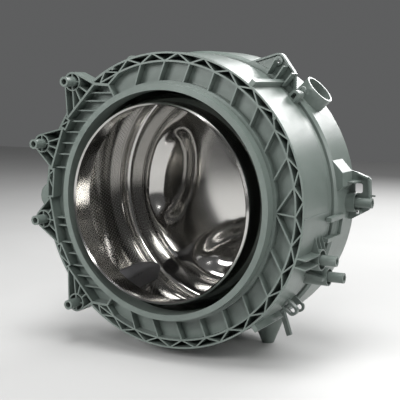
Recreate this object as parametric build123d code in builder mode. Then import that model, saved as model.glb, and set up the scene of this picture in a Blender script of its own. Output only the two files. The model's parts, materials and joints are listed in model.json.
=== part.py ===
from build123d import *
from math import atan2, cos, degrees, hypot, radians, sin, sqrt, tan
import os

# Washing machine tub: a welded plastic outer tub with the steel drum turning inside it.
# Millimetres. The drum's axis is Y, the door side faces -Y, X is to the right, Z is up.
# The origin is on the axis, in the plane of the mouth's front edge.

# Outer tub, front moulding
wall = 3.0
rib = 2.4
rim_radius = 250.0
rim_y = 20.0
mouth_radius = 187.5
mouth_lip = 10.0
step_width = 5.5
channel_floor_y = 35.0
lattice_floor_y = 50.0
mid_ring_radius = rim_radius - 15
step_radius = mouth_radius + mouth_lip + step_width
weld_y = 147.0
groove_width = 4.0
groove_depth = 8.0
weld_flange = 16.0
weld_taper = 12.0
flange_inner_radius = rim_radius - groove_depth - 4

# Rib pattern of the front ring, angles from +X towards +Z
node_step = 11.5
node_count = 21
first_node = 113.0
last_node = first_node - node_step * (node_count - 1)
meeting_angle = -1.2
meeting_reach = 13.0
lean_at_side = 11.5
lean_fall = 0.17
pin_angles = [114.6, 36.0, 172.4]
pin_radius = 2.5

# Channel on the left, which is deeper and has level ribs at these angles of the mid ring
corner_radius = rim_radius - 25
top_corner_angle = 120.0
low_corner_angle = 237.5
left_floor_y = 43.0
left_rib_y = 28.0
upper_rib_angles = [129.2, 134.4, 140.0, 145.8, 151.3, 156.7, 161.9, 168.0]
lower_rib_angles = [190.3, 193.8, 201.5, 206.8, 212.7, 218.1, 223.9]

# Counterweight bosses on the left, as (x, z, first root angle, second root angle)
gusset_root_radius = rim_radius - 7
root_overlap = 0.4
side_bosses = [
    (61 - rim_radius, rim_radius - 49, 126.0, 145.6),
    (-9 - rim_radius, 91.0, 150.8, 168.7),
    (-9 - rim_radius, -46.0, 181.3, 201.4),
    (61 - rim_radius, 57 - rim_radius, 212.3, 230.8),
]
boss_cup_radius = 17.0
boss_tube_radius = 8.6
boss_bore_radius = 5.2
boss_tube_front_y = -4.0
boss_bore_depth = 45.0
cell_radius = rim_radius - 14

# Outer tub, rear moulding
rear_radius = rim_radius + 5
rear_side_end_y = 236.0
rear_wall_y = 271.0
rear_wall = 4.0
rear_rib_count = 18
rear_hub_radius = 54.0
rear_hub_end_y = 326.0
rear_rib_rim_height = 4.0
rear_rib_hub_height = 38.0

# Water ways
spout_angle = 42.5
spout_y = 190.0
spout_radius = 28.0
spout_wall = 3.5
spout_top_radius = rear_radius + 24
sump_x = 113.0
sump_y = 191.0
sump_top_z = -205.0
sump_radius = 36.0
sump_depth = 62.0
sump_taper = 22

# Hangers, dampers and side brackets
hanger_y = 150.0
hanger_plate = 5.0
hanger_edge = 4.0
hanger_hole_x = 147.0
hanger_hole_z = rear_radius - 19
hanger_hole_radius = 4.0
hanger_corner = 23.0
hanger_root_angles = [69.5, 44.5]
hanger_fin_angles = [50.0, 54.0, 58.0]
fin_depth = 22.0
fin_top_radius = rear_radius + 25
clevis_angle = -41.0
clevis_y = 108.0
clevis_gap = 21.0
clevis_ear = 4.5
clevis_pin_circle = rim_radius + 18
clevis_hole_radius = 5.0
clevis_end_radius = 9.0
hose_lug_angle = 43.5
hose_lug_radius = 8.0
hose_lug_slot = 3.5
hose_lug_rise = 18.0
clip_angles = [-5.2, -12.9]
clip_front_y = 112.0
clip_end_y = 176.0
bracket_y = 212.0
bracket_plate = 4.0
wedge_start_y = 152.0
wedge_end_y = 198.0
lug_radius = 24.0

# Drum
drum_radius = rim_radius - 20
sheet = 1.0
drum_front_y = 66.0
drum_back_y = 232.0
lip_radius = mouth_radius - 23.5
lip_front_y = -11.0
neck_radius = lip_radius + 4
dish_y = 248.0
plate_rise = 19.0
plate_radius = drum_radius - 55
arm_angles = [109.0, -11.0, -131.0]
lobe_circle = 118.0
lobe_length = 88.0
lobe_width = 43.0
lobe_draft = 7.0
lifter_height = 52.0
lifter_crest = 22.0
lifter_half_angle = 7.0
lifter_start_y = 82.0
lifter_nose = 21.0
lifter_end_y = 216.0
seam_overlap = 14.0

# Spider, shaft and bearings
spider_hub_radius = 30.0
spider_hub_end_y = 261.0
spider_arm_width = 26.0
spider_arm_depth = 16.0
spider_reach = plate_radius - 4
spider_web_width = 10.0
spider_web_end_y = 254.0
spider_bolt_circle = spider_reach - 14
spider_bolt_radius = 4.0
shaft_end_y = 362.0
front_journal = 15.0
rear_journal = 12.5
front_bearing_radius = 36.0
front_bearing_width = 19.0
front_bearing_y = 273.0
rear_bearing_radius = 26.0
rear_bearing_width = 15.0
rear_bearing_y = 311.0
race = 5.5
pulley_seat_radius = 11.0
pulley_seat_length = 22.0
pulley_thread_radius = 4.0
pulley_thread_depth = 24.0
seal_width = 9.0
sleeve_radius = 20.0
running_gap = 0.3
hub_insert_radius = 46.0
hub_flange_radius = 62.0
seal_radius = 38.0


def polar(radius, angle):
    """A point of a drawing that faces the door, at a radius and an angle."""
    return (radius * cos(radians(angle)), radius * sin(radians(angle)))


def facing(y):
    """The drawing plane square to the axis at a depth; x is X and y is Z."""
    return Plane.XZ.offset(-y)


def half_plane(angle):
    """The drawing plane through the axis at an angle; x is the radius and y is Y."""
    return Plane(
        origin=(0, 0, 0),
        x_dir=(cos(radians(angle)), 0, sin(radians(angle))),
        z_dir=(-sin(radians(angle)), 0, cos(radians(angle))),
    )


def outward(radius, angle, y):
    """The plane square to a radius; x is Y and y runs round the tub."""
    x, z = polar(radius, angle)
    return Plane(origin=(x, y, z), x_dir=(0, 1, 0), z_dir=polar_direction(angle))


def polar_direction(angle):
    return (cos(radians(angle)), 0, sin(radians(angle)))


def bar(start, end, width):
    """A straight rib seen end on, drawn between two points."""
    middle = ((start[0] + end[0]) / 2, (start[1] + end[1]) / 2)
    length = hypot(end[0] - start[0], end[1] - start[1])
    turn = degrees(atan2(end[1] - start[1], end[0] - start[0]))
    with Locations(middle):
        Rectangle(length, width, rotation=turn)


def ring(y_start, y_end, outer, inner, mode=Mode.ADD):
    """A plain ring about the axis."""
    with BuildSketch(Plane.XY) as section:
        Polygon((inner, y_start), (outer, y_start), (outer, y_end), (inner, y_end), align=None)
    revolve(section.sketch, axis=Axis.Y, mode=mode)


def mouth_rib_angle(angle):
    """Where a channel rib that starts at the mid ring meets the mouth wall."""
    if abs(angle - meeting_angle) < meeting_reach:
        return meeting_angle
    lean = lean_at_side - lean_fall * abs(angle)
    return angle - lean if angle > 0 else angle + lean


front_profile = [
    (mouth_radius, 0),
    (mouth_radius + mouth_lip, 0),
    (mouth_radius + mouth_lip, rim_y),
    (step_radius, rim_y),
    (step_radius, channel_floor_y),
    (rim_radius - wall, channel_floor_y),
    (rim_radius - wall, rim_y),
    (rim_radius, rim_y),
    (rim_radius, weld_y - 2 * weld_taper),
    (rim_radius - 2, weld_y - groove_width),
    (rim_radius - groove_depth, weld_y - groove_width),
    (rim_radius - groove_depth, weld_y),
    (flange_inner_radius, weld_y),
    (flange_inner_radius, weld_y - weld_flange),
    (rim_radius - wall, weld_y - weld_flange - weld_taper),
    (rim_radius - wall, channel_floor_y + wall),
    (step_radius - wall, channel_floor_y + wall),
    (step_radius - wall, rim_y + wall),
    (mouth_radius + mouth_lip - wall, rim_y + wall),
    (mouth_radius + mouth_lip - wall, wall),
    (mouth_radius + wall, wall),
    (mouth_radius + wall, channel_floor_y),
    (mouth_radius, channel_floor_y),
]


def add_lug():
    """A rounded tab behind the rim at the far left."""
    with BuildSketch(facing(rim_y + 2 * wall)) as lug:
        with Locations(polar(rim_radius - 2 * wall, 181)):
            Circle(lug_radius)
    extrude(lug.sketch, amount=-4 * wall)


def left_corners():
    """Corners of the channel's outer wall on the left, from top to bottom."""
    corners = [polar(corner_radius, top_corner_angle)]
    for x, z, first, second in side_bosses:
        corners.append(polar(gusset_root_radius, first))
        corners.append(polar(gusset_root_radius, second))
    corners.append(polar(corner_radius, low_corner_angle))
    return corners


def add_left_channel():
    """The deeper channel on the left, with its outer wall and its level ribs."""
    corners = left_corners()
    step_ring = step_radius - wall / 2
    with BuildSketch(facing(channel_floor_y)) as floor:
        Polygon((0, 0), *corners, align=None)
        Circle(step_radius - wall, mode=Mode.SUBTRACT)
    extrude(floor.sketch, amount=-(left_floor_y + wall - channel_floor_y))
    with BuildSketch(facing(rim_y - 1)) as channel:
        Polygon((0, 0), *corners, align=None)
        Circle(step_radius, mode=Mode.SUBTRACT)
    extrude(channel.sketch, amount=-(left_floor_y + 1 - rim_y), mode=Mode.SUBTRACT)
    with BuildSketch(facing(rim_y)) as walls:
        for start, end in zip(corners[:-1], corners[1:]):
            bar(start, end, wall)
        bar(polar(step_ring, top_corner_angle), corners[0], wall)
        bar(polar(step_ring, low_corner_angle), corners[-1], wall)
    extrude(walls.sketch, amount=-(left_floor_y + wall - rim_y))
    with BuildSketch(facing(left_rib_y)) as level_ribs:
        for angle in upper_rib_angles + lower_rib_angles:
            z = mid_ring_radius * sin(radians(angle))
            beside_corner = abs(z / tan(radians(top_corner_angle)))
            start_x = max(sqrt(step_ring**2 - z**2), beside_corner)
            end_x = sqrt(gusset_root_radius**2 - z**2)
            bar((-start_x, z), (-end_x, z), rib)
    extrude(level_ribs.sketch, amount=-(left_floor_y + 1 - left_rib_y))


def add_cell(corners, bars):
    """A deep pocket inside the rim; its inner wall passes through the given corners."""
    first = corners[0][1]
    last = corners[-1][1]
    outer = [(rim_radius - 0.5, first + share * (last - first)) for share in (1, 0.5, 0)]
    with BuildSketch(facing(rim_y)) as block:
        Polygon(*[polar(*corner) for corner in corners + outer], align=None)
    with BuildSketch(facing(rim_y)) as pocket:
        add(block.sketch)
        offset(amount=-wall, kind=Kind.INTERSECTION)
    with BuildSketch(facing(rim_y)) as braces:
        for start, end in bars:
            bar(polar(*start), polar(*end), rib)
    extrude(block.sketch, amount=-(lattice_floor_y + wall - rim_y))
    extrude(pocket.sketch, amount=-(lattice_floor_y - rim_y), mode=Mode.SUBTRACT)
    extrude(braces.sketch, amount=-(lattice_floor_y + 1 - rim_y))


def add_cells():
    """The pockets between the bosses and at both ends of the left channel."""
    inner = cell_radius + wall / 2
    outer = rim_radius - wall / 2
    half_step = node_step / 2
    ring_edge = mid_ring_radius - wall / 2
    add_cell(
        [(ring_edge, first_node), (corner_radius, 120), (gusset_root_radius, 126)],
        [
            ((inner, 123), (mid_ring_radius, first_node)),
            ((inner, 123), (outer, first_node + half_step)),
        ],
    )
    add_cell([(cell_radius, 145.6), (cell_radius, 150.8)], [((inner, 146), (outer, 150))])
    add_cell(
        [(cell_radius, 168.7), (cell_radius, 181.3)],
        [((inner, 169.2), (outer, 172.4)), ((outer, 172.4), (inner, 176.6))],
    )
    add_cell(
        [(cell_radius, 201.4), (cell_radius, 212.3)],
        [((inner, 202), (outer, 206)), ((outer, 206), (inner, 211.5))],
    )
    add_cell(
        [(gusset_root_radius, 230.8), (corner_radius, 237.5), (ring_edge, 360 + last_node)],
        [
            ((inner, 234), (mid_ring_radius, last_node)),
            ((inner, 234), (outer, last_node - half_step)),
        ],
    )


def add_trough():
    """The deep outer trough that holds the triangular bracing."""
    inner = mid_ring_radius - wall / 2
    sweep = first_node - last_node
    with BuildSketch(half_plane(first_node)) as block:
        Polygon(
            (inner, rim_y),
            (rim_radius - 1, rim_y),
            (rim_radius - 1, lattice_floor_y + wall),
            (inner, lattice_floor_y + wall),
            align=None,
        )
    revolve(block.sketch, axis=Axis.Y, revolution_arc=sweep)
    with BuildSketch(half_plane(first_node + 1)) as pocket:
        Polygon(
            (inner + wall, rim_y - 1),
            (rim_radius - wall, rim_y - 1),
            (rim_radius - wall, lattice_floor_y),
            (inner + wall, lattice_floor_y),
            align=None,
        )
    revolve(pocket.sketch, axis=Axis.Y, revolution_arc=sweep + 2, mode=Mode.SUBTRACT)


def add_bracing():
    """Triangular bracing in the trough, and the ribs across the channel inside it."""
    outer = rim_radius - wall / 2
    step_ring = step_radius - wall / 2
    nodes = [first_node - node_step * index for index in range(node_count)]
    with BuildSketch(facing(rim_y)) as bracing:
        for angle in nodes:
            bar(polar(mid_ring_radius, angle), polar(outer, angle + node_step / 2), rib)
            bar(polar(mid_ring_radius, angle), polar(outer, angle - node_step / 2), rib)
    extrude(bracing.sketch, amount=-(lattice_floor_y + 1 - rim_y))
    with BuildSketch(facing(rim_y)) as channel:
        for angle in nodes[1:-1]:
            bar(polar(mid_ring_radius, angle), polar(step_ring, mouth_rib_angle(angle)), rib)
    extrude(channel.sketch, amount=-(channel_floor_y + 1 - rim_y))
    with BuildSketch(facing(rim_y - wall)) as pins:
        for angle in pin_angles:
            with Locations(polar(rim_radius - 2 * pin_radius, angle)):
                Circle(pin_radius)
    extrude(pins.sketch, amount=-(lattice_floor_y + 1 + wall - rim_y))


def add_side_boss(x, z, first, second):
    """A forward boss in a spoked cup, carried by a ribbed gusset on the rim."""
    root_a = polar(gusset_root_radius, first - root_overlap)
    root_b = polar(gusset_root_radius, second + root_overlap)
    ring_outer = boss_cup_radius - rib / 4
    with BuildSketch(facing(rim_y)) as outline:
        with Locations((x, z)):
            Circle(boss_cup_radius)
        Polygon(root_a, root_b, (x, z), align=None)
        make_hull()
    with BuildSketch(facing(rim_y)) as pocket:
        add(outline.sketch)
        offset(amount=-rib, kind=Kind.INTERSECTION)
    with BuildSketch(facing(rim_y)) as walls:
        add(outline.sketch)
        add(pocket.sketch, mode=Mode.SUBTRACT)
        with Locations((x, z)):
            Circle(ring_outer)
            Circle(ring_outer - rib, mode=Mode.SUBTRACT)
        for share in (0.25, 0.5, 0.75):
            chord_x = root_a[0] + share * (root_b[0] - root_a[0])
            chord_z = root_a[1] + share * (root_b[1] - root_a[1])
            reach = hypot(chord_x - x, chord_z - z)
            near = (ring_outer - rib / 2) / reach
            far = (reach - rib / 2) / reach
            bar(
                (x + near * (chord_x - x), z + near * (chord_z - z)),
                (x + far * (chord_x - x), z + far * (chord_z - z)),
                rib,
            )
        for turn in (0, 90, 180, 270):
            inner = polar(boss_bore_radius + 1, turn)
            outer = polar(ring_outer - rib / 2, turn)
            bar((x + inner[0], z + inner[1]), (x + outer[0], z + outer[1]), rib)
        with Locations((x, z)):
            Circle(boss_tube_radius)
    with BuildSketch(facing(boss_tube_front_y)) as tube:
        with Locations((x, z)):
            Circle(boss_tube_radius)
    with BuildSketch(facing(boss_tube_front_y)) as bore:
        with Locations((x, z)):
            Circle(boss_bore_radius)
    with BuildSketch(facing(lattice_floor_y)) as plate:
        add(outline.sketch.moved(Location((0, lattice_floor_y - rim_y, 0))))
    extrude(pocket.sketch, amount=-(lattice_floor_y - rim_y), mode=Mode.SUBTRACT)
    extrude(walls.sketch, amount=-(lattice_floor_y - rim_y))
    extrude(plate.sketch, amount=-wall)
    extrude(tube.sketch, amount=-(rim_y - boss_tube_front_y))
    extrude(bore.sketch, amount=-boss_bore_depth, mode=Mode.SUBTRACT)


def side_cup(x_root, x_mouth, y, z, radius, tube_length):
    """A boss that points to the right: a cup with a longer tube in it."""
    looking_right = Plane(origin=(x_root, y, z), x_dir=(0, 1, 0), z_dir=(1, 0, 0))
    with BuildSketch(looking_right) as cup:
        Circle(radius)
    extrude(cup.sketch, amount=x_mouth - x_root)
    with BuildSketch(looking_right.offset(x_mouth - x_root - 10)) as pocket:
        Circle(radius - rib)
    extrude(pocket.sketch, amount=11, mode=Mode.SUBTRACT)
    with BuildSketch(looking_right.offset(x_mouth - x_root - 11)) as tube:
        Circle(boss_tube_radius)
    extrude(tube.sketch, amount=11 + tube_length)
    with BuildSketch(looking_right.offset(x_mouth - x_root + tube_length)) as bore:
        Circle(boss_bore_radius)
    extrude(bore.sketch, amount=-boss_bore_depth, mode=Mode.SUBTRACT)


def long_bar(start, end, width, y_start, y_end):
    """A bar along the tub's side, drawn end on between two points."""
    with BuildSketch(facing(y_start)) as section:
        bar(start, end, width)
    extrude(section.sketch, amount=-(y_end - y_start))


def add_arch(angle, end_circle, radius, slot, y_start, y_end):
    """A round-topped ear with an oblong slot through it, square to the axis."""
    top = polar(end_circle, angle)
    with BuildSketch(facing(y_start)) as ear:
        with Locations(top):
            Circle(radius)
        bar(polar(rim_radius - 1, angle), top, 2 * radius)
    extrude(ear.sketch, amount=-(y_end - y_start))
    with BuildSketch(facing(y_start)) as opening:
        with Locations(top):
            Circle(slot)
        bar(polar(rim_radius + wall, angle), top, 2 * slot)
    extrude(opening.sketch, amount=-(y_end - y_start), mode=Mode.SUBTRACT)


def add_clevis(angle):
    """Two ears that take a damper's pin: a slotted one in front and a drilled one behind."""
    front_y = clevis_y - clevis_gap / 2
    back_y = clevis_y + clevis_gap / 2
    pin = polar(clevis_pin_circle, angle)
    ear_width = 2 * clevis_end_radius
    add_arch(
        angle,
        clevis_pin_circle,
        clevis_end_radius,
        clevis_hole_radius,
        front_y - 2 * clevis_ear,
        front_y,
    )
    with BuildSketch(facing(back_y)) as ear:
        with Locations(pin):
            Circle(clevis_end_radius)
        bar(polar(rim_radius - 1, angle), pin, ear_width)
        with Locations(pin):
            Circle(clevis_hole_radius, mode=Mode.SUBTRACT)
    extrude(ear.sketch, amount=-clevis_ear)


def add_right_side():
    """The ledge, the rails, the lug and the webs on the right of the front moulding."""
    end_y = weld_y - groove_width - 1
    foot = rim_radius - wall + 0.5
    long_bar(polar(foot, 51.5), polar(rim_radius + 9, 51.5), 8, rim_y + 2, end_y)
    long_bar(polar(foot, -49.5), polar(rim_radius + 12, -49.5), 8, rim_y + 1, 121)
    long_bar(polar(foot, -2.8), polar(rim_radius + 1.5, -2.8), rib, rim_y + 1, 121)
    add_arch(
        hose_lug_angle,
        rim_radius + hose_lug_rise - hose_lug_radius,
        hose_lug_radius,
        hose_lug_slot,
        120,
        end_y,
    )
    side_cup(rim_radius - 35, rim_radius + 4, 90, -86, 18, 25)
    side_cup(rim_radius - 42, rim_radius + 5, 120, -119, 15.5, 26)
    long_bar((rim_radius - 14, -73), (rim_radius + 4, -76), rib, rim_y, 80)
    long_bar((rim_radius - 16, -87), (rim_radius + 3, -91), rib, rim_y, 80)
    long_bar((rim_radius - 30, -112), (rim_radius + 4, -119), 2 * wall, 90, 110)
    for y in (77, 91, 105):
        with BuildSketch(facing(y)) as gusset:
            Polygon(
                polar(rim_radius - 1, -10.5),
                polar(rim_radius - 1, -18),
                (rim_radius + 3, -72),
                align=None,
            )
        extrude(gusset.sketch, amount=-rib)


with BuildPart() as front_shell:
    with BuildSketch(Plane.XY) as shell_section:
        Polygon(*front_profile, align=None)
    revolve(shell_section.sketch, axis=Axis.Y)
    add_lug()
    add_left_channel()
    for boss in side_bosses:
        add_side_boss(*boss)
    add_cells()
    add_trough()
    add_bracing()
    add_clevis(clevis_angle)
    add_clevis(180 - clevis_angle)
    add_right_side()
    with BuildSketch(Plane.XY) as front_hollow:
        Polygon(
            (0, lattice_floor_y + wall),
            (rim_radius - wall, lattice_floor_y + wall),
            (rim_radius - wall, weld_y - weld_flange - weld_taper),
            (flange_inner_radius, weld_y - weld_flange),
            (flange_inner_radius, weld_y),
            (0, weld_y),
            align=None,
        )
    revolve(front_hollow.sketch, axis=Axis.Y, mode=Mode.SUBTRACT)

front_shell.part.label = "front_shell"


rear_inner = rear_radius - wall
corner = rear_wall_y - rear_side_end_y
corner_share = 0.3


def add_hanger(side):
    """A spring hanger plate square to the axis, with a raised edge, fins and a hook hole."""
    hook = (side * hanger_hole_x, hanger_hole_z)
    corner_x = side * (hanger_hole_x + hanger_corner)
    turns = [angle if side > 0 else 180 - angle for angle in hanger_root_angles]
    roots = [polar(rear_radius - 2 * wall, turn) for turn in turns]
    with BuildSketch(facing(hanger_y - hanger_edge)) as plate:
        with Locations(hook):
            Circle(3 * hanger_hole_radius + 1)
        Polygon(*roots, hook, align=None)
        with Locations((corner_x, hanger_hole_z - hanger_corner)):
            Circle(2 * hanger_hole_radius)
        make_hull()
    with BuildSketch(facing(hanger_y - hanger_edge)) as recess:
        add(plate.sketch)
        offset(amount=-wall, kind=Kind.INTERSECTION)
        Circle(rear_radius + 2, mode=Mode.SUBTRACT)
        with Locations(hook):
            Circle(2 * hanger_hole_radius, mode=Mode.SUBTRACT)
    with BuildSketch(facing(hanger_y - hanger_edge)) as hook_hole:
        with Locations(hook):
            Circle(hanger_hole_radius)
    extrude(plate.sketch, amount=-(hanger_edge + hanger_plate))
    extrude(recess.sketch, amount=-hanger_edge, mode=Mode.SUBTRACT)
    with BuildSketch(facing(hanger_y - fin_depth)) as fins:
        for angle in hanger_fin_angles:
            turn = angle if side > 0 else 180 - angle
            bar(polar(rear_inner + 1, turn), polar(fin_top_radius, turn), rib)
    extrude(fins.sketch, amount=-(fin_depth + 1))
    extrude(hook_hole.sketch, amount=-4 * hanger_plate, mode=Mode.SUBTRACT)


def add_side_bracket():
    """The windowed plate behind the right-hand boss, with its edge, web, pin and eye."""
    window = (rear_radius + 16, 20)
    eye = (rear_radius + 17, -20)
    with BuildSketch(facing(bracket_y)) as outline:
        Polygon(
            (rear_inner - 3, 52),
            (rear_radius + 15, 47),
            (rear_radius + 33, 40),
            (rear_radius + 37, 36),
            (rear_radius + 39, -10),
            (rear_radius + 34, -17),
            (rear_radius + 4, -34),
            (rear_inner - 3, -34),
            align=None,
        )
        with Locations(window):
            RectangleRounded(14, 17, 4, mode=Mode.SUBTRACT)
    extrude(outline.sketch, amount=-bracket_plate)
    edge_y = bracket_y - 2 * bracket_plate
    long_bar((rear_radius + 36, 36), (rear_radius + 37.5, -10), wall, edge_y, bracket_y + 1)
    long_bar((rear_radius + 15, 46), (rear_radius + 33, 39), wall, edge_y, bracket_y + 1)
    long_bar((rear_inner + 1, 33), (rear_radius + 22, 33), rib, bracket_y - 37, bracket_y + 1)
    long_bar((rear_radius + 36, 8), (rear_radius + 45, 8), wall, bracket_y, bracket_y + wall)
    with BuildSketch(facing(edge_y)) as eye_tube:
        with Locations(eye):
            Circle(2 * wall)
    extrude(eye_tube.sketch, amount=-(2 * bracket_plate + 1))
    with BuildSketch(facing(edge_y)) as eye_hole:
        with Locations(eye):
            Circle(wall)
    extrude(eye_hole.sketch, amount=-4 * bracket_plate, mode=Mode.SUBTRACT)


def add_clip():
    """A U-shaped clip on the right that reaches forwards over the weld."""
    low = rim_radius + 1.5
    high = rear_radius + 6
    for angle in clip_angles:
        long_bar(polar(low, angle), polar(high, angle), 7, clip_front_y, clip_end_y)
    middle = rear_radius + 2
    first, second = clip_angles
    long_bar(polar(middle, first), polar(middle, second), 8, clip_end_y - 8, clip_end_y)


def add_small_parts():
    """The eye behind the hose lug, the block beside the bracket and the peg by the drain."""
    eye = polar(rear_radius + 11, hose_lug_angle + 1)
    with BuildSketch(facing(weld_y + 1)) as eye_plate:
        with Locations(eye):
            Circle(hose_lug_radius - 1)
        bar(polar(rear_inner + 1, hose_lug_angle + 1), eye, 2 * hose_lug_radius - 2)
        with Locations(eye):
            Circle(hose_lug_slot, mode=Mode.SUBTRACT)
    extrude(eye_plate.sketch, amount=-hanger_plate)
    with BuildSketch(facing(wedge_start_y)) as wedge:
        Polygon(
            polar(rear_radius - 2, 17),
            polar(rear_radius + 13, 11),
            polar(rear_radius + 10, 6),
            polar(rear_radius - 2, 4),
            align=None,
        )
    extrude(wedge.sketch, amount=-(wedge_end_y - wedge_start_y))
    long_bar(polar(rear_radius - 2, -51.5), polar(rear_radius + 38, -54.3), 8, 150, 158)


with BuildPart() as rear_shell:
    with BuildSketch(Plane.XY) as rear_body:
        Polygon(
            (0, weld_y),
            (rim_radius + 1, weld_y),
            (rear_radius, weld_y + 6),
            (rear_radius, rear_side_end_y),
            (rear_radius - corner_share * corner, rear_wall_y - corner_share * corner),
            (rear_radius - corner, rear_wall_y),
            (rear_hub_radius, rear_wall_y),
            (rear_hub_radius, rear_hub_end_y),
            (0, rear_hub_end_y),
            align=None,
        )
    revolve(rear_body.sketch, axis=Axis.Y)

    with BuildSketch(facing(rear_wall_y - 1)) as back_ribs:
        for index in range(rear_rib_count):
            angle = index * 360 / rear_rib_count
            bar(polar(rear_hub_radius - 2, angle), polar(rear_radius - corner + 2, angle), wall)
    extrude(back_ribs.sketch, amount=-(rear_rib_hub_height + 1))
    with BuildSketch(Plane.XY) as rib_trim:
        Polygon(
            (rear_hub_radius, rear_wall_y + rear_rib_hub_height),
            (rear_radius - corner + 4, rear_wall_y + rear_rib_rim_height),
            (rear_radius - corner + 4, rear_wall_y + rear_rib_hub_height + 5),
            (rear_hub_radius, rear_wall_y + rear_rib_hub_height + 5),
            align=None,
        )
    revolve(rib_trim.sketch, axis=Axis.Y, mode=Mode.SUBTRACT)

    with BuildSketch(outward(rear_inner - 2, spout_angle, spout_y)) as spout:
        Circle(spout_radius)
    extrude(spout.sketch, amount=spout_top_radius - rear_inner + 2)

    sump_plane = Plane(origin=(sump_x, sump_y, sump_top_z), x_dir=(1, 0, 0), z_dir=(0, 0, -1))
    with BuildSketch(sump_plane) as sump:
        Circle(sump_radius)
    extrude(sump.sketch, amount=sump_depth, taper=sump_taper)

    add_hanger(1)
    add_hanger(-1)
    side_cup(rear_inner - 12, rear_radius + 15, 205, -4, 16.5, 28)
    add_side_bracket()
    add_clip()
    add_small_parts()

    with BuildSketch(Plane.XY) as rear_hollow:
        Polygon(
            (0, weld_y - 1),
            (flange_inner_radius, weld_y - 1),
            (flange_inner_radius, weld_y + groove_depth),
            (rear_inner, weld_y + groove_depth),
            (rear_inner, rear_side_end_y),
            (rear_inner - corner_share * corner, rear_wall_y - rear_wall - corner_share * corner),
            (rear_inner - corner, rear_wall_y - rear_wall),
            (hub_insert_radius, rear_wall_y - rear_wall),
            (hub_insert_radius, rear_hub_end_y + 1),
            (0, rear_hub_end_y + 1),
            align=None,
        )
    revolve(rear_hollow.sketch, axis=Axis.Y, mode=Mode.SUBTRACT)
    with BuildSketch(outward(rear_inner - 20, spout_angle, spout_y)) as spout_bore:
        Circle(spout_radius - spout_wall)
    extrude(spout_bore.sketch, amount=60, mode=Mode.SUBTRACT)
    with BuildSketch(sump_plane) as outlet:
        Circle(sump_radius - wall)
    extrude(outlet.sketch, amount=sump_depth + 1, taper=sump_taper, mode=Mode.SUBTRACT)

rear_shell.part.label = "rear_shell"


# Bearing hub and what sits in it, from the drum side to the back
seal_y = front_bearing_y - seal_width - 1
hub_front_y = seal_y - 1.5
front_bearing_end_y = front_bearing_y + front_bearing_width
rear_bearing_end_y = rear_bearing_y + rear_bearing_width

with BuildPart() as bearing_hub:
    with BuildSketch(Plane.XY) as hub_section:
        Polygon(
            (seal_radius, hub_front_y),
            (hub_flange_radius, hub_front_y),
            (hub_flange_radius, rear_wall_y - rear_wall),
            (hub_insert_radius, rear_wall_y - rear_wall),
            (hub_insert_radius, rear_hub_end_y),
            (rear_bearing_radius, rear_hub_end_y),
            (rear_bearing_radius, rear_bearing_y),
            (rear_bearing_radius - race, rear_bearing_y),
            (rear_bearing_radius - race, front_bearing_end_y),
            (front_bearing_radius, front_bearing_end_y),
            (front_bearing_radius, front_bearing_y - 1),
            (seal_radius, front_bearing_y - 1),
            align=None,
        )
    revolve(hub_section.sketch, axis=Axis.Y)
bearing_hub.part.label = "bearing_hub"

with BuildPart() as shaft_seal:
    ring(seal_y, seal_y + seal_width, seal_radius, sleeve_radius + running_gap)
shaft_seal.part.label = "shaft_seal"

with BuildPart() as front_bearing_outer:
    ring(
        front_bearing_y,
        front_bearing_end_y,
        front_bearing_radius,
        front_journal + race + running_gap,
    )
front_bearing_outer.part.label = "front_bearing_outer"

with BuildPart() as front_bearing_inner:
    ring(front_bearing_y, front_bearing_end_y, front_journal + race, front_journal)
front_bearing_inner.part.label = "front_bearing_inner"

with BuildPart() as rear_bearing_outer:
    ring(
        rear_bearing_y,
        rear_bearing_end_y,
        rear_bearing_radius,
        rear_journal + race + running_gap,
    )
rear_bearing_outer.part.label = "rear_bearing_outer"

with BuildPart() as rear_bearing_inner:
    ring(rear_bearing_y, rear_bearing_end_y, rear_journal + race, rear_journal)
rear_bearing_inner.part.label = "rear_bearing_inner"

with BuildPart() as seal_sleeve:
    ring(spider_hub_end_y, front_bearing_y, sleeve_radius, front_journal)
seal_sleeve.part.label = "seal_sleeve"

# Spider and shaft
plate_y = dish_y - plate_rise
spider_front_y = plate_y + sheet

with BuildPart() as spider:
    with BuildSketch(facing(spider_front_y)) as spider_plan:
        Circle(spider_hub_radius)
        for angle in arm_angles:
            bar((0, 0), polar(spider_reach, angle), spider_arm_width)
    extrude(spider_plan.sketch, amount=-spider_arm_depth)
    with BuildSketch(facing(spider_front_y)) as spider_web:
        Circle(spider_hub_radius)
        for angle in arm_angles:
            bar((0, 0), polar(0.8 * spider_reach, angle), spider_web_width)
    extrude(spider_web.sketch, amount=-(spider_web_end_y - spider_front_y))
    with BuildSketch(facing(spider_web_end_y)) as spider_hub:
        Circle(spider_hub_radius)
    extrude(spider_hub.sketch, amount=-(spider_hub_end_y - spider_web_end_y))
    with BuildSketch(facing(spider_front_y + 5)) as shaft_bore:
        Circle(front_journal)
    extrude(shaft_bore.sketch, amount=-spider_hub_radius * 2, mode=Mode.SUBTRACT)
    with BuildSketch(facing(spider_front_y - 1)) as bolt_holes:
        for angle in arm_angles:
            with Locations(polar(spider_bolt_circle, angle)):
                Circle(spider_bolt_radius)
    extrude(bolt_holes.sketch, amount=-spider_arm_depth * 2, mode=Mode.SUBTRACT)
spider.part.label = "spider"

with BuildPart() as spider_bolts:
    with BuildSketch(facing(plate_y)) as shanks:
        for angle in arm_angles:
            with Locations(polar(spider_bolt_circle, angle)):
                Circle(spider_bolt_radius)
    extrude(shanks.sketch, amount=-(spider_arm_depth + sheet))
    with BuildSketch(facing(spider_front_y + spider_arm_depth)) as heads:
        for angle in arm_angles:
            with Locations(polar(spider_bolt_circle, angle)):
                RegularPolygon(1.8 * spider_bolt_radius, 6)
    extrude(heads.sketch, amount=-1.3 * spider_bolt_radius)
spider_bolts.part.label = "spider_bolts"

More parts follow.
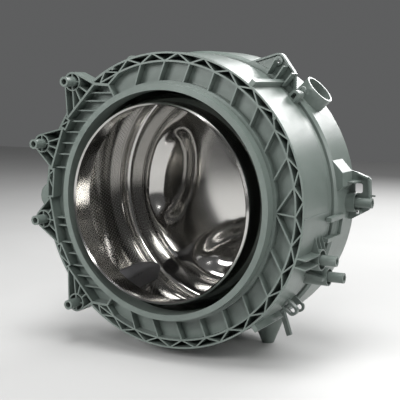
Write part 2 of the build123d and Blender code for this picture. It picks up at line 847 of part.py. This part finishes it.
with BuildPart() as drum_shaft:
    with BuildSketch(Plane.XY) as shaft_section:
        Polygon(
            (0, spider_front_y + 5),
            (front_journal, spider_front_y + 5),
            (front_journal, front_bearing_end_y),
            (rear_journal + 1.5, front_bearing_end_y),
            (rear_journal + 1.5, rear_bearing_y),
            (rear_journal, rear_bearing_y),
            (rear_journal, shaft_end_y - pulley_seat_length),
            (pulley_seat_radius, shaft_end_y - pulley_seat_length),
            (pulley_seat_radius, shaft_end_y),
            (0, shaft_end_y),
            align=None,
        )
    revolve(shaft_section.sketch, axis=Axis.Y)
    with BuildSketch(facing(shaft_end_y)) as pulley_hole:
        Circle(pulley_thread_radius)
    extrude(pulley_hole.sketch, amount=pulley_thread_depth, mode=Mode.SUBTRACT)
drum_shaft.part.label = "drum_shaft"

# Drum
with BuildPart() as drum_wall:
    ring(drum_front_y, drum_back_y, drum_radius, drum_radius - sheet)
drum_wall.part.label = "drum_wall"

with BuildPart() as drum_front:
    with BuildSketch(Plane.XY) as front_sheet:
        with BuildLine() as front_line:
            Polyline(
                (drum_radius - 1.5 * sheet, drum_front_y + seam_overlap),
                (drum_radius - 1.5 * sheet, drum_front_y - 2),
                (drum_radius - 11, drum_front_y - 12),
                (neck_radius + 20, drum_front_y - 16),
                (neck_radius, drum_front_y - 30),
                (neck_radius, lip_front_y + 4),
                (neck_radius - 2, lip_front_y),
                (lip_radius, lip_front_y + 2),
                (lip_radius, lip_front_y + 8),
            )
        trace(line_width=sheet)
    revolve(front_sheet.sketch, axis=Axis.Y)
drum_front.part.label = "drum_front"


def add_lobe(angle, spread, depth, mode):
    """A tapered oval pressed backwards between two arms; its long side follows the drum."""
    with BuildSketch(facing(plate_y)) as mouth_oval:
        with Locations(polar(lobe_circle, angle)):
            Ellipse(lobe_length + spread, lobe_width + spread, rotation=angle + 90)
    with BuildSketch(facing(plate_y + depth)) as floor_oval:
        with Locations(polar(lobe_circle, angle)):
            Ellipse(
                lobe_length + spread - lobe_draft,
                lobe_width + spread - lobe_draft,
                rotation=angle + 90,
            )
    loft([mouth_oval.sketch, floor_oval.sketch], mode=mode)


with BuildPart() as drum_back:
    with BuildSketch(Plane.XY) as back_section:
        Polygon(
            (drum_radius - sheet, drum_back_y - seam_overlap),
            (drum_radius - sheet, dish_y - 10),
            (drum_radius - 10, dish_y + sheet),
            (plate_radius + 8, dish_y + sheet),
            (plate_radius, plate_y + sheet),
            (0, plate_y + sheet),
            (0, plate_y),
            (plate_radius + 0.5, plate_y),
            (plate_radius + 8.5, dish_y),
            (drum_radius - 11, dish_y),
            (drum_radius - 2 * sheet, dish_y - 10.5),
            (drum_radius - 2 * sheet, drum_back_y - seam_overlap),
            align=None,
        )
    revolve(back_section.sketch, axis=Axis.Y)
    lobe_angles = [angle + 60 for angle in arm_angles]
    for angle in lobe_angles:
        add_lobe(angle, sheet, plate_rise + sheet, Mode.ADD)
    for angle in lobe_angles:
        add_lobe(angle, 0, plate_rise, Mode.SUBTRACT)
    with BuildSketch(facing(plate_y)) as back_holes:
        for angle in arm_angles:
            with Locations(polar(spider_bolt_circle, angle)):
                Circle(spider_bolt_radius)
    extrude(back_holes.sketch, amount=-2 * sheet, mode=Mode.SUBTRACT)
drum_back.part.label = "drum_back"

lifter_foot = drum_radius - sheet - running_gap


def lifter_section(angle):
    """The lifter's section square to the axis: a blunt wedge on the drum's wall."""
    top = lifter_foot - lifter_height
    half_crest = degrees(lifter_crest / 2 / top)
    foot_angles = [angle + share * lifter_half_angle for share in (-1, -0.5, 0, 0.5, 1)]
    Polygon(
        *[polar(lifter_foot, foot_angle) for foot_angle in foot_angles],
        polar(top + 6, angle + half_crest),
        polar(top, angle + half_crest / 2),
        polar(top, angle - half_crest / 2),
        polar(top + 6, angle - half_crest),
        align=None,
    )


lifters = []
for number, angle in enumerate(arm_angles, start=1):
    with BuildPart() as lifter:
        with BuildSketch(facing(lifter_start_y)) as lifter_end_on:
            lifter_section(angle)
        extrude(lifter_end_on.sketch, amount=-(lifter_end_y - lifter_start_y))
        with BuildSketch(half_plane(angle)) as nose_cut:
            Polygon(
                (lifter_foot + 1, lifter_start_y - 1),
                (lifter_foot - 4, lifter_start_y - 1),
                (lifter_foot - lifter_height - 1, lifter_start_y + lifter_nose),
                (lifter_foot - lifter_height - 1, lifter_start_y - 1),
                align=None,
            )
        extrude(nose_cut.sketch, amount=lifter_height, both=True, mode=Mode.SUBTRACT)
    lifter.part.label = f"lifter_{number}"
    lifters.append(lifter)

pieces = [
    front_shell,
    rear_shell,
    bearing_hub,
    shaft_seal,
    front_bearing_outer,
    front_bearing_inner,
    rear_bearing_outer,
    rear_bearing_inner,
    seal_sleeve,
    spider,
    spider_bolts,
    drum_shaft,
    drum_wall,
    drum_front,
    drum_back,
    *lifters,
]

os.makedirs("parts", exist_ok=True)
for piece in pieces:
    export_step(piece.part, f"parts/{piece.part.label}.step")
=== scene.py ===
import json
import math

import bmesh
import bpy
from mathutils import Matrix, Vector


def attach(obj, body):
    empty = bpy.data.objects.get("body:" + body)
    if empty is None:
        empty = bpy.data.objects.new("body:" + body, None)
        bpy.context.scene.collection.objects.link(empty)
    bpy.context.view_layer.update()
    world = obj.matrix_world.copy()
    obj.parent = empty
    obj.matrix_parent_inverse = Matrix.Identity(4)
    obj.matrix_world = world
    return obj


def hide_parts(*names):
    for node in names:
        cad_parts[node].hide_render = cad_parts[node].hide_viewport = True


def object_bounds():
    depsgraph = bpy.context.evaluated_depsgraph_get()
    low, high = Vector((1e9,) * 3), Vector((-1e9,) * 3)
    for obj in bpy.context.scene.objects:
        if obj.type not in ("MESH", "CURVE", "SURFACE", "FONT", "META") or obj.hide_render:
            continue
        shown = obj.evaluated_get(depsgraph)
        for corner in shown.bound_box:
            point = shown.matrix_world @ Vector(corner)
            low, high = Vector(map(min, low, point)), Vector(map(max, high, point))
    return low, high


# The looks of a washing machine tub: the moulded outer tub and the steel drum inside it.
# Metres, in the part's own frame: Y is the drum's axis, the door side faces -Y, Z is up.
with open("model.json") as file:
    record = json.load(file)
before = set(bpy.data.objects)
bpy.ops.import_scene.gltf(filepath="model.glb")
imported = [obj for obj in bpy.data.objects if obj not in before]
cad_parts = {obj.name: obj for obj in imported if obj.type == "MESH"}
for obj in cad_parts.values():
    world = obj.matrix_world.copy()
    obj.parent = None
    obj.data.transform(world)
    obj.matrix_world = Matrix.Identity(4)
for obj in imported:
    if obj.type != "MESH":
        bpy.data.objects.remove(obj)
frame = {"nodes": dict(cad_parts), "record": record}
nodes = frame["nodes"]
cad_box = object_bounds()

# The drum's sizes, as the solids have them; the back's depths are to the middle of its sheet
DRUM_RADIUS = 0.230
SHEET = 0.001
DRUM_FRONT = 0.066
DRUM_BACK = 0.232
DISH_FLOOR = 0.2485
PLATE_DEPTH = 0.2291
PLATE_RADIUS = 0.175
SEAM_START = 0.218

# Ovals pressed in the drum's back: their flat floors, and the slope around each
LOBE_ANGLES = [169, 49, -71]
LOBE_CIRCLE = 0.118
LOBE_LENGTH = 0.070
LOBE_WIDTH = 0.026
LOBE_SLOPE = 0.030

# Lifters: the peak's place is a share of the length, the taper and the crest are shares of the width
LIFTER_ANGLES = [109, -11, -131]
LIFTER_START = 0.067
LIFTER_LENGTH = 0.148
LIFTER_FOOT = -0.2272
LIFTER_HALF_WIDTH = 0.026
LIFTER_TAPER = 0.58
LIFTER_CREST = 0.40
LIFTER_PEAK = 0.42
LIFTER_PEAK_HEIGHT = 0.043
LIFTER_NOSE_HEIGHT = 0.006
LIFTER_FALL = 0.055
LIFTER_EDGE = 0.0045
LIFTER_HOLES = 5
LIFTER_HOLE_RADIUS = 0.0022
LIFTER_HOLE_PITCH = 0.012
LIFTER_HOLE_DROP = 0.0085

# Water holes in the drum's wall
HOLE_RADIUS = 0.00156
HOLE_COLUMNS = 444
HOLE_ROWS = 21
HOLES_START = 0.090
ROW_PITCH = 0.0059


# Modelling helpers


def deselect():
    if bpy.context.mode != "OBJECT":
        bpy.ops.object.mode_set(mode="OBJECT")
    bpy.ops.object.select_all(action="DESELECT")


def open_new(name):
    """Names the primitive that was just added and opens it for editing, nothing selected."""
    piece = bpy.context.object
    piece.name = name
    piece.data.name = name
    bpy.ops.object.mode_set(mode="EDIT")
    bpy.ops.mesh.select_all(action="DESELECT")
    return piece


def pick(piece, test, kind):
    """Selects only those faces, edges or vertices whose middle passes the test."""
    bpy.ops.mesh.select_mode(type=kind)
    bpy.ops.mesh.select_all(action="DESELECT")
    mesh = bmesh.from_edit_mesh(piece.data)
    if kind == "FACE":
        for face in mesh.faces:
            face.select_set(test(face.calc_center_median()))
    elif kind == "EDGE":
        for edge in mesh.edges:
            edge.select_set(test((edge.verts[0].co + edge.verts[1].co) / 2))
    else:
        for corner in mesh.verts:
            corner.select_set(test(corner.co))
    bmesh.update_edit_mesh(piece.data)


def settle():
    """Moves the active object's place, turn and size into its mesh."""
    bpy.ops.object.transform_apply(location=True, rotation=True, scale=True)


def close_edit():
    bpy.ops.object.mode_set(mode="OBJECT")
    settle()


def finish_with(piece, kind, **settings):
    """Adds a modifier and applies it."""
    modifier = piece.modifiers.new(kind.title(), kind)
    for key, value in settings.items():
        setattr(modifier, key, value)
    bpy.context.view_layer.objects.active = piece
    bpy.ops.object.modifier_apply(modifier=modifier.name)


def smooth(piece, degrees):
    """Shades a piece smooth except at edges sharper than this."""
    deselect()
    piece.select_set(True)
    bpy.context.view_layer.objects.active = piece
    bpy.ops.object.shade_smooth_by_angle(angle=math.radians(degrees))
    piece.select_set(False)


def clean(piece):
    """Merges doubles and points every face outwards."""
    deselect()
    piece.select_set(True)
    bpy.context.view_layer.objects.active = piece
    bpy.ops.object.mode_set(mode="EDIT")
    bpy.ops.mesh.select_all(action="SELECT")
    bpy.ops.mesh.remove_doubles(threshold=0.00002)
    bpy.ops.mesh.normals_make_consistent(inside=False)
    bpy.ops.object.mode_set(mode="OBJECT")
    piece.select_set(False)


def around(point):
    """The radius and the angle, in degrees from +X towards +Z, of a point about the axis."""
    return math.hypot(point.x, point.z), math.degrees(math.atan2(point.z, point.x))


# Materials


class Amount:
    """A number that changes over a surface; a sum or a product of it adds a Math node."""

    def __init__(self, finish, socket):
        self.finish = finish
        self.socket = socket

    def combine(self, operation, first, second):
        settings = {"operation": operation}
        return self.finish.node("ShaderNodeMath", settings, {0: first, 1: second})["Value"]

    def __add__(self, other):
        return self.combine("ADD", self, other)

    def __mul__(self, other):
        return self.combine("MULTIPLY", self, other)


class Finish:
    """A procedural material under construction."""

    def __init__(self, name, **constants):
        self.material = bpy.data.materials.new(name)
        self.material.use_nodes = True
        self.tree = self.material.node_tree
        self.shader = self.tree.nodes["Principled BSDF"]
        for socket, value in constants.items():
            self.shader.inputs[socket.replace("_", " ")].default_value = value
        self.place = self.node("ShaderNodeTexCoord", {}, {})["Object"]

    def node(self, kind, settings, inputs):
        """Adds a node and returns its outputs by name; inputs are values or links."""
        node = self.tree.nodes.new(kind)
        for key, value in settings.items():
            setattr(node, key, value)
        for key, value in inputs.items():
            if isinstance(value, Amount):
                self.tree.links.new(value.socket, node.inputs[key])
            else:
                node.inputs[key].default_value = value
        return {output.name: Amount(self, output) for output in node.outputs if output.enabled}

    def noise(self, scale, detail=4, stretch=(1, 1, 1), roughness=0.5):
        """Noise at a scale in cells to the metre, stretched along an axis by a small factor."""
        place = self.place
        if stretch != (1, 1, 1):
            place = self.node("ShaderNodeMapping", {}, {"Vector": place, "Scale": stretch})["Vector"]
        inputs = {"Vector": place, "Scale": scale, "Detail": detail, "Roughness": roughness}
        return self.node("ShaderNodeTexNoise", {}, inputs)["Fac"]

    def mix(self, share, first, second):
        """A colour between two others."""
        inputs = {0: share, 6: first, 7: second}
        settings = {"data_type": "RGBA"}
        return self.node("ShaderNodeMix", settings, inputs)["Result"]

    def limit(self, value, low, high, to_low=0.0, to_high=1.0):
        """Stretches a range of a number to another range and cuts off what lies outside."""
        inputs = {
            "Value": value,
            "From Min": low,
            "From Max": high,
            "To Min": to_low,
            "To Max": to_high,
        }
        return self.node("ShaderNodeMapRange", {"clamp": True}, inputs)["Result"]

    def set(self, socket, value):
        self.tree.links.new(value.socket, self.shader.inputs[socket])

    def bump(self, height, strength, distance):
        inputs = {"Height": height, "Strength": strength, "Distance": distance}
        self.set("Normal", self.node("ShaderNodeBump", {}, inputs)["Normal"])


def plastic(name, dark, light, dust, rough, grain_scale):
    """Moulded plastic with cloudy filler, a fine grain and a little dust."""
    finish = Finish(name, Specular_IOR_Level=0.5)
    cloud = finish.noise(14, 5)
    speckle = finish.noise(grain_scale, 2)
    body = finish.mix(finish.limit(cloud, 0.35, 0.65), dark, light)
    dusty = finish.limit(finish.noise(60, 6, roughness=0.7), 0.5, 0.8, 0, 0.35)
    finish.set("Base Color", finish.mix(dusty, body, dust))
    finish.set("Roughness", dusty * 0.4 + speckle * 0.12 + rough)
    finish.bump(speckle + cloud * 0.3, 0.25, 0.0002)
    return finish.material


def steel(name, color, rough, brush, streak=(1, 1, 1), wear=0.08):
    """Bare metal with fine marks along one direction and soft smears."""
    finish = Finish(name, Metallic=1.0)
    marks = finish.noise(brush, 3, streak)
    smear = finish.noise(9, 4)
    darker = tuple(0.8 * part for part in color[:3]) + (1,)
    finish.set("Base Color", finish.mix(finish.limit(smear, 0.3, 0.7), darker, color))
    finish.set("Roughness", marks * wear + finish.limit(smear, 0.35, 0.75, rough, rough + wear))
    finish.bump(marks, 0.02, 0.0001)
    return finish.material


tub_plastic = plastic(
    "moulded_tub",
    (0.116, 0.142, 0.128, 1),
    (0.146, 0.176, 0.160, 1),
    (0.22, 0.25, 0.235, 1),
    0.28,
    1400,
)
lifter_plastic = plastic(
    "dark_lifter",
    (0.14, 0.14, 0.148, 1),
    (0.165, 0.165, 0.172, 1),
    (0.22, 0.22, 0.22, 1),
    0.38,
    1800,
)
drum_steel = steel("polished_drum", (0.60, 0.59, 0.57, 1), 0.10, 700, (1, 0.05, 1), wear=0.04)
cast_aluminium = steel("cast_aluminium", (0.56, 0.57, 0.58, 1), 0.42, 900, wear=0.2)
bearing_steel = steel("ground_bearing", (0.55, 0.55, 0.56, 1), 0.2, 1500, (1, 0.05, 1))
shaft_steel = steel("turned_shaft", (0.5, 0.5, 0.51, 1), 0.25, 1200, (0.05, 1, 0.05))
sleeve_brass = steel("brass_sleeve", (0.66, 0.48, 0.2, 1), 0.22, 1200, (0.05, 1, 0.05))
seal_rubber = plastic(
    "seal_rubber", (0.02, 0.02, 0.02, 1), (0.03, 0.03, 0.03, 1), (0.06, 0.06, 0.06, 1), 0.6, 900
)

finish_of_slot = {
    "tub_plastic": tub_plastic,
    "drum_steel": drum_steel,
    "lifter_plastic": lifter_plastic,
    "cast_aluminium": cast_aluminium,
    "bearing_steel": bearing_steel,
    "shaft_steel": shaft_steel,
    "sleeve_brass": sleeve_brass,
    "seal_rubber": seal_rubber,
}
for entry in frame["record"]["subparts"]:
    surface = nodes[entry["node"]].data.materials
    surface.clear()
    surface.append(finish_of_slot[entry["material_slot"]])


def dress(piece, material, body):
    """Gives a finished piece its material and the body it moves with."""
    piece.data.materials.clear()
    piece.data.materials.append(material)
    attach(piece, body)


# Drum wall: one strip of two staggered columns of holes, copied round the axis
def make_drum_wall():
    deselect()
    step = 2 * math.pi / HOLE_COLUMNS
    wall_radius = DRUM_RADIUS - SHEET / 2
    length = (HOLE_ROWS + 1) * ROW_PITCH
    middle_y = HOLES_START + length / 2
    bpy.ops.mesh.primitive_grid_add(
        x_subdivisions=4,
        y_subdivisions=HOLE_ROWS + 1,
        size=1,
        location=(0, middle_y, wall_radius),
    )
    strip = open_new("drum_wall_perforated")
    bpy.ops.mesh.select_all(action="SELECT")
    bpy.ops.transform.resize(value=(2 * step * wall_radius, length, 1))
    close_edit()
    bpy.ops.object.mode_set(mode="EDIT")
    column = step * wall_radius / 2

    def near_hole(point, distance):
        """Whether a point lies closer than this to the hole of the nearest row."""
        row = round((point.y - HOLES_START) / ROW_PITCH)
        if row < 1 or row > HOLE_ROWS:
            return False
        hole_x = column if row % 2 else -column
        hole_y = HOLES_START + row * ROW_PITCH
        return math.hypot(point.x - hole_x, point.y - hole_y) < distance

    pick(strip, lambda point: near_hole(point, column / 4), "VERT")
    bpy.ops.mesh.bevel(offset=HOLE_RADIUS, segments=1, affect="VERTICES")
    pick(strip, lambda point: near_hole(point, HOLE_RADIUS * 0.75), "FACE")
    bpy.ops.mesh.delete(type="FACE")
    for edge_y, target in ((HOLES_START, DRUM_FRONT), (HOLES_START + length, DRUM_BACK)):
        pick(strip, lambda point: abs(point.y - edge_y) < 0.0001, "EDGE")
        bpy.ops.mesh.extrude_region_move(
            TRANSFORM_OT_translate={"value": (0, target - edge_y, 0)}
        )
    close_edit()
    turn = bpy.data.objects.new("turn", None)
    bpy.context.scene.collection.objects.link(turn)
    turn.rotation_euler = (0, 2 * step, 0)
    bpy.context.view_layer.update()
    finish_with(
        strip,
        "ARRAY",
        count=HOLE_COLUMNS // 2,
        use_relative_offset=False,
        use_object_offset=True,
        offset_object=turn,
        use_merge_vertices=True,
        use_merge_vertices_cap=True,
        merge_threshold=0.0003,
    )
    bpy.data.objects.remove(turn)
    clean(strip)
    finish_with(strip, "SOLIDIFY", thickness=SHEET, offset=0)
    smooth(strip, 30)
    return strip


perforated = make_drum_wall()
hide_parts("drum_wall")
dress(perforated, drum_steel, "drum")


# Drum back: rings drawn inwards from the seam, then three ovals pressed into the plate
def make_drum_back():
    seam = DRUM_RADIUS - 1.6 * SHEET
    bead = seam - 0.0016
    rings = [
        (seam, SEAM_START),
        (seam, SEAM_START + 0.005),
        (bead, SEAM_START + 0.0065),
        (bead, SEAM_START + 0.0085),
        (seam, SEAM_START + 0.010),
        (seam, SEAM_START + 0.018),
        (seam - 0.0014, 0.2402),
        (seam - 0.0040, 0.2440),
        (seam - 0.0080, 0.2470),
        (seam - 0.0130, DISH_FLOOR),
        (PLATE_RADIUS + 0.030, DISH_FLOOR),
        (PLATE_RADIUS + 0.018, DISH_FLOOR - 0.0005),
        (PLATE_RADIUS + 0.012, DISH_FLOOR - 0.002),
        (PLATE_RADIUS + 0.007, DISH_FLOOR - 0.006),
        (PLATE_RADIUS + 0.003, PLATE_DEPTH + 0.009),
        (PLATE_RADIUS - 0.001, PLATE_DEPTH + 0.0042),
        (PLATE_RADIUS - 0.005, PLATE_DEPTH + 0.0012),
    ]
    plate_rings = 31
    ring_step = 0.005
    for index in range(2, plate_rings + 2):
        rings.append((PLATE_RADIUS - ring_step * index, PLATE_DEPTH))
    deselect()
    radius, depth = rings[0]
    bpy.ops.mesh.primitive_circle_add(
        vertices=120,
        radius=radius,
        fill_type="NOTHING",
        location=(0, depth, 0),
        rotation=(math.radians(90), 0, 0),
    )
    settle()
    back = open_new("drum_back_pressed")
    bpy.ops.mesh.select_mode(type="EDGE")
    bpy.ops.mesh.select_all(action="SELECT")
    for next_radius, next_depth in rings[1:]:
        share = next_radius / radius
        bpy.ops.mesh.extrude_region_move(
            TRANSFORM_OT_translate={"value": (0, next_depth - depth, 0)}
        )
        bpy.ops.transform.resize(value=(share, 1, share))
        radius = next_radius
        depth = next_depth
    bpy.ops.mesh.extrude_region_move(TRANSFORM_OT_translate={"value": (0, 0, 0)})
    bpy.ops.mesh.merge(type="CENTER")
    for angle in LOBE_ANGLES:
        outward = Vector((math.cos(math.radians(angle)), 0, math.sin(math.radians(angle))))
        along = Vector((-outward.z, 0, outward.x))

        def in_lobe(point):
            if around(point)[0] > PLATE_RADIUS - 0.006:
                return False
            reach = Vector((point.x, 0, point.z)) - LOBE_CIRCLE * outward
            long_share = reach.dot(along) / LOBE_LENGTH
            wide_share = reach.dot(outward) / LOBE_WIDTH
            return math.hypot(long_share, wide_share) < 1

        pick(back, in_lobe, "VERT")
        bpy.ops.transform.translate(
            value=(0, DISH_FLOOR - PLATE_DEPTH, 0),
            use_proportional_edit=True,
            use_proportional_connected=True,
            proportional_edit_falloff="SMOOTH",
            proportional_size=LOBE_SLOPE,
        )
    pick(back, lambda point: around(point)[0] < PLATE_RADIUS - 0.004, "VERT")
    bpy.ops.mesh.vertices_smooth(factor=0.5, repeat=8)
    close_edit()
    clean(back)
    finish_with(back, "SUBSURF", levels=1)
    finish_with(back, "SOLIDIFY", thickness=SHEET, offset=0)
    smooth(back, 60)
    return back


pressed = make_drum_back()
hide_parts("drum_back")
dress(pressed, drum_steel, "drum")


# Lifters: arched fins drawn slice by slice along the axis, then turned to their place on the wall
def lifter_height(share):
    """Rises like a quarter of an ellipse to the peak and falls slowly behind it."""
    if share < LIFTER_PEAK:
        run = min(1 - share / LIFTER_PEAK, 1)
        rise = LIFTER_PEAK_HEIGHT - LIFTER_NOSE_HEIGHT
        return LIFTER_NOSE_HEIGHT + rise * math.sqrt(1 - run * run)
    return LIFTER_PEAK_HEIGHT - LIFTER_FALL * (share - LIFTER_PEAK) ** 2


def make_lifter(angle, number):
    slices = 14
    height = lifter_height(0)
    width = 1.0
    deselect()
    bpy.ops.mesh.primitive_plane_add(
        size=1,
        location=(0, LIFTER_START, LIFTER_FOOT + height / 2),
        rotation=(math.radians(90), 0, 0),
    )
    settle()
    fin = open_new(f"lifter_{number}_moulded")
    bpy.ops.mesh.select_all(action="SELECT")
    bpy.ops.transform.resize(value=(2 * LIFTER_HALF_WIDTH, 1, height))
    pick(fin, lambda point: point.z > LIFTER_FOOT + height / 2, "VERT")
    bpy.ops.transform.resize(value=(LIFTER_CREST, 1, 1))
    bpy.ops.mesh.select_mode(type="FACE")
    bpy.ops.mesh.select_all(action="SELECT")
    for index in range(1, slices + 1):
        bpy.ops.mesh.extrude_region_move(
            TRANSFORM_OT_translate={"value": (0, LIFTER_LENGTH / slices, 0)}
        )
        next_height = lifter_height(index / slices)
        next_width = 1 - (1 - LIFTER_TAPER) * index / slices
        bpy.ops.transform.resize(
            value=(next_width / width, 1, next_height / height),
            center_override=(0, 0, LIFTER_FOOT),
        )
        height = next_height
        width = next_width

    def on_crest(point):
        """Whether the middle of an edge lies on one of the two long edges of the crest."""
        top = lifter_height((point.y - LIFTER_START) / LIFTER_LENGTH)
        return abs(point.x) > 0.001 and point.z > LIFTER_FOOT + 0.6 * top

    pick(fin, on_crest, "EDGE")
    bpy.ops.mesh.bevel(offset=LIFTER_EDGE, segments=3, affect="EDGES")
    close_edit()
    clean(fin)
    for index in range(LIFTER_HOLES):
        from_nose = 0.014 + LIFTER_HOLE_PITCH * index
        drill_z = LIFTER_FOOT + lifter_height(from_nose / LIFTER_LENGTH) - LIFTER_HOLE_DROP
        bpy.ops.mesh.primitive_cylinder_add(
            vertices=10,
            radius=LIFTER_HOLE_RADIUS,
            depth=0.023,
            location=(0.0185, LIFTER_START + from_nose, drill_z),
            rotation=(0, math.radians(90), 0),
        )
        drill = bpy.context.object
        finish_with(fin, "BOOLEAN", object=drill, operation="DIFFERENCE", solver="EXACT")
        bpy.data.objects.remove(drill)
    fin.rotation_euler = (0, -math.radians(angle + 90), 0)
    deselect()
    fin.select_set(True)
    bpy.context.view_layer.objects.active = fin
    settle()
    smooth(fin, 35)
    return fin


for number, angle in enumerate(LIFTER_ANGLES, start=1):
    moulded = make_lifter(angle, number)
    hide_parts(f"lifter_{number}")
    dress(moulded, lifter_plastic, "drum")


# Floor, light and camera
floor_size = 8.0
deselect()
bpy.ops.mesh.primitive_plane_add(size=floor_size, location=(0, 0, cad_box[0][2] - 0.0005))
floor = bpy.context.object
floor.name = "floor"
settle()
floor_finish = Finish("pale_floor", Roughness=0.7)
floor_tone = floor_finish.limit(floor_finish.noise(3, 3), 0.3, 0.7)
floor_finish.set(
    "Base Color", floor_finish.mix(floor_tone, (0.50, 0.50, 0.495, 1), (0.52, 0.52, 0.515, 1))
)
floor.data.materials.append(floor_finish.material)


def soft_light(name, place, aim, width, height, power):
    lamp = bpy.data.lights.new(name, "AREA")
    lamp.shape = "RECTANGLE"
    lamp.size = width
    lamp.size_y = height
    lamp.energy = power
    holder = bpy.data.objects.new(name, lamp)
    bpy.context.scene.collection.objects.link(holder)
    holder.location = place
    holder.rotation_euler = (Vector(aim) - Vector(place)).to_track_quat("-Z", "Y").to_euler()


soft_light("key", (-1.1, -2.1, 1.0), (0, 0, 0), 1.2, 0.9, 48)
soft_light("top", (0.3, -0.2, 2.1), (0, 0.1, 0), 1.2, 1.2, 50)
soft_light("right", (2.4, -0.2, 0.9), (0, 0.1, 0), 1.0, 1.4, 24)
soft_light("front", (1.1, -1.8, 1.5), (0, 0.1, -0.1), 0.6, 0.6, 15)
soft_light("behind", (0.3, 2.3, 1.3), (0.1, 0.1, 0.1), 1.8, 1.2, 60)

world = bpy.data.worlds.new("studio")
bpy.context.scene.world = world
world.use_nodes = True
backdrop = world.node_tree.nodes["Background"]
backdrop.inputs["Color"].default_value = (0.93, 0.94, 0.95, 1)
backdrop.inputs["Strength"].default_value = 0.12

camera_data = bpy.data.cameras.new("camera")
camera_data.lens = 81.0
camera_data.sensor_width = 36.0
camera = bpy.data.objects.new("camera", camera_data)
bpy.context.scene.collection.objects.link(camera)
bpy.context.scene.camera = camera
right = Vector((0.87546, 0.48328, 0.0))
back = Vector((0.47936, -0.86836, 0.12706))
up = back.cross(right)
turned = Matrix((right, up, back)).transposed().to_4x4()
camera.matrix_world = Matrix.Translation((0.7730, -1.2604, 0.1958)) @ turned

bpy.context.scene.view_settings.view_transform = "Standard"
